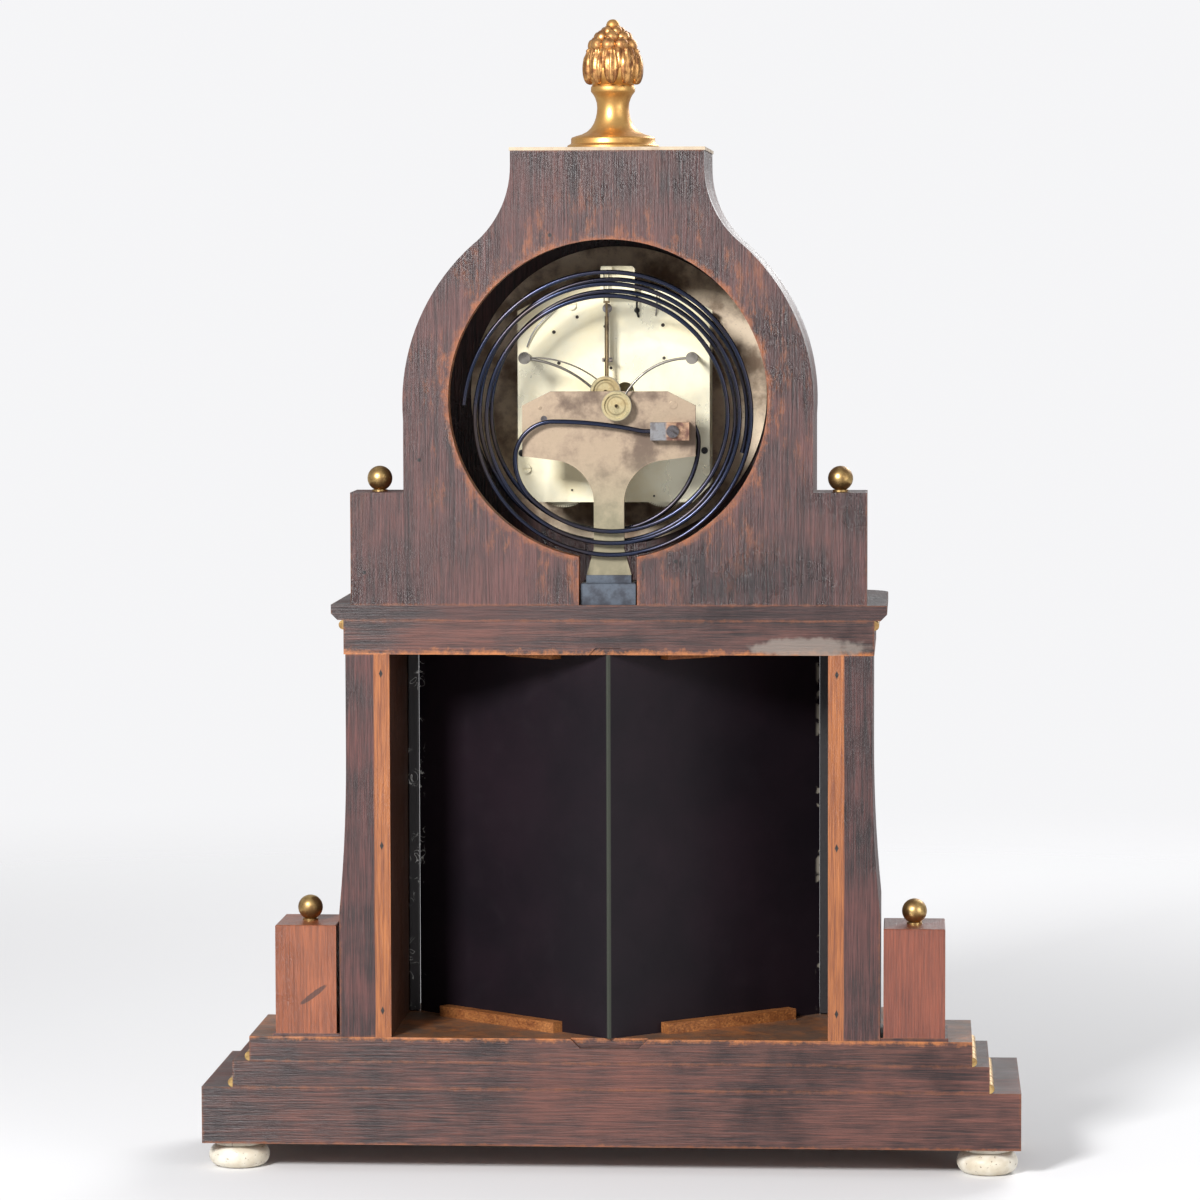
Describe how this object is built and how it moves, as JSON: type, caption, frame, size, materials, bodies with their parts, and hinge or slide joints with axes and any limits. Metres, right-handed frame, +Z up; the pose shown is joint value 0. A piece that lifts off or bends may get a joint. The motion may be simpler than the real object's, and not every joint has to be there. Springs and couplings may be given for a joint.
{
  "type": "portico mantel clock",
  "caption": "Portico mantel clock seen from its open back: stepped base, mirror niche with columns, round-holed head, brass movement with pendulum, hammers and gongs.",
  "frame": {"origin": "on the floor, midway between the clock's sides and midway between its back plane and the plinth's foremost edge", "axes": "+Z up, the dial faces -Y, +X to the right as seen from the front"},
  "size_m": [0.3806, 0.118, 0.535],
  "materials": {
    "bone": "turned bone, bone-white",
    "dark_mahogany": "dark purplish-brown stain over pine, worn satin",
    "red_mahogany": "polished orange-red mahogany",
    "stained_pine": "vertical-grain pine with rubbed dark stain",
    "raw_pine": "raw pine with old glue",
    "aged_brass": "aged, dull",
    "gilt_brass": "gilt, satin",
    "gilt_bronze": "matt gilt with dark hollows",
    "bright_brass": "lacquered, bright",
    "bracket_brass": "mottled grey-brown and greenish",
    "hammer_brass": "satin",
    "pan_brass": "mottled tan-grey",
    "blued_steel": "blued",
    "steel": "grey with coppery stains",
    "grey_iron": "grey-blue",
    "silk": "black silk thread",
    "cap_edge": "thin sheet with a pale edge",
    "column_marble": "polished white alabaster",
    "mirror_plate": "silvered glass with a dark backing",
    "white_enamel": null,
    "clear_glass": "clear"
  },
  "bodies": {
    "case": {"bun_feet": "bone", "plinth": "dark_mahogany", "lower_step": "dark_mahogany", "upper_step": "dark_mahogany", "bead_trims": "aged_brass", "post_left": "dark_mahogany", "post_right": "dark_mahogany", "pedestal_left": "red_mahogany", "pedestal_right": "red_mahogany", "pedestal_slips": "dark_mahogany", "pedestal_balls": "aged_brass", "mirror_left": "mirror_plate", "mirror_right": "mirror_plate", "glue_blocks": "raw_pine", "column_bases": "gilt_brass", "column_capitals": "gilt_brass", "column_left": "column_marble", "column_right": "column_marble", "frieze": "dark_mahogany", "cornice": "dark_mahogany", "head_back_board": "stained_pine", "head_front_board": "dark_mahogany", "head_wall_left": "dark_mahogany", "head_wall_right": "dark_mahogany", "head_cap": "cap_edge", "shoulders": "dark_mahogany", "shoulder_balls": "aged_brass", "finial": "gilt_bronze", "finial_nut": "steel", "gong_block": "grey_iron", "gong_bracket": "bracket_brass", "rear_gong": "blued_steel", "front_gong": "blued_steel", "rear_clamp": "steel", "front_clamp": "steel", "clamp_screws": "steel", "back_plate": "bright_brass", "front_plate": "bright_brass", "pillars": "bright_brass", "suspension_cock": "bright_brass", "dial_pan": "pan_brass", "dial": "white_enamel", "bezel_hinge": "gilt_brass"},
    "bezel": {"bezel": "gilt_brass", "bezel_glass": "clear_glass"},
    "minute": {"centre_arbor": "bright_brass", "minute_hand": "blued_steel"},
    "hour": {"hour_wheel": "bright_brass", "hour_hand": "blued_steel"},
    "minute_wheel": {"minute_wheel": "bright_brass"},
    "intermediate": {"intermediate_wheel": "bright_brass"},
    "third": {"third_wheel": "bright_brass"},
    "escape": {"escape_wheel": "bright_brass"},
    "going_barrel": {"going_barrel": "bright_brass"},
    "strike_barrel": {"strike_barrel": "bright_brass"},
    "anchor": {"anchor": "steel"},
    "pendulum": {"pendulum": "bright_brass", "silk_loop": "silk"},
    "rear_hammer": {"rear_hammer": "hammer_brass"},
    "front_hammer": {"front_hammer": "hammer_brass"}
  },
  "joints": [
    {"name": "bezel_opening", "type": "hinge", "parent": "case", "child": "bezel", "pos_m": [-0.0766, -0.0356, 0.3593], "axis": [0, 0, -1], "range_deg": [0, 110]},
    {"name": "minute_turn", "type": "hinge", "parent": "case", "child": "minute", "pos_m": [0, -0.001, 0.3593], "axis": [0, 1, 0], "continuous": true},
    {"name": "hour_turn", "type": "hinge", "parent": "case", "child": "hour", "pos_m": [0, -0.023, 0.3593], "axis": [0, 1, 0], "continuous": true},
    {"name": "minute_wheel_turn", "type": "hinge", "parent": "case", "child": "minute_wheel", "pos_m": [-0.0095, -0.017, 0.3689], "axis": [0, 1, 0], "continuous": true},
    {"name": "intermediate_turn", "type": "hinge", "parent": "case", "child": "intermediate", "pos_m": [-0.0144, -0.001, 0.3423], "axis": [0, 1, 0], "continuous": true},
    {"name": "third_turn", "type": "hinge", "parent": "case", "child": "third", "pos_m": [0.01, -0.001, 0.3738], "axis": [0, 1, 0], "continuous": true},
    {"name": "escape_turn", "type": "hinge", "parent": "case", "child": "escape", "pos_m": [0.0026, -0.001, 0.3843], "axis": [0, 1, 0], "continuous": true},
    {"name": "going_barrel_turn", "type": "hinge", "parent": "case", "child": "going_barrel", "pos_m": [-0.0238, -0.001, 0.3221], "axis": [0, 1, 0], "continuous": true},
    {"name": "strike_barrel_turn", "type": "hinge", "parent": "case", "child": "strike_barrel", "pos_m": [0.0238, -0.001, 0.3221], "axis": [0, 1, 0], "continuous": true},
    {"name": "pendulum_swing", "type": "hinge", "parent": "case", "child": "pendulum", "pos_m": [0.0026, 0.023, 0.4181], "axis": [0, 1, 0], "range_deg": [-4, 4]},
    {"name": "anchor_rocking", "type": "hinge", "parent": "case", "child": "anchor", "pos_m": [0.0026, -0.001, 0.4008], "axis": [0, 1, 0], "range_deg": [-7, 7]},
    {"name": "rear_hammer_lift", "type": "hinge", "parent": "case", "child": "rear_hammer", "pos_m": [-0.0386, 0.054, 0.3783], "axis": [0, 1, 0], "range_deg": [-12, 1.4], "stiffness_Nm_per_rad": 0.03, "springref_deg": -3.44},
    {"name": "front_hammer_lift", "type": "hinge", "parent": "case", "child": "front_hammer", "pos_m": [0.0395, 0.041, 0.3781], "axis": [0, 1, 0], "range_deg": [-1.4, 12], "stiffness_Nm_per_rad": 0.03, "springref_deg": 3.44}
  ],
  "couplings": [
    {"joint": "hour_turn", "follows": "minute_turn", "ratio": 0.083333},
    {"joint": "minute_wheel_turn", "follows": "minute_turn", "ratio": -0.33333},
    {"joint": "intermediate_turn", "follows": "minute_turn", "ratio": -0.125},
    {"joint": "third_turn", "follows": "minute_turn", "ratio": -6.8},
    {"joint": "escape_turn", "follows": "minute_turn", "ratio": 49.867},
    {"joint": "going_barrel_turn", "follows": "minute_turn", "ratio": 0.0625},
    {"joint": "anchor_rocking", "follows": "pendulum_swing", "ratio": 1.72}
  ]
}
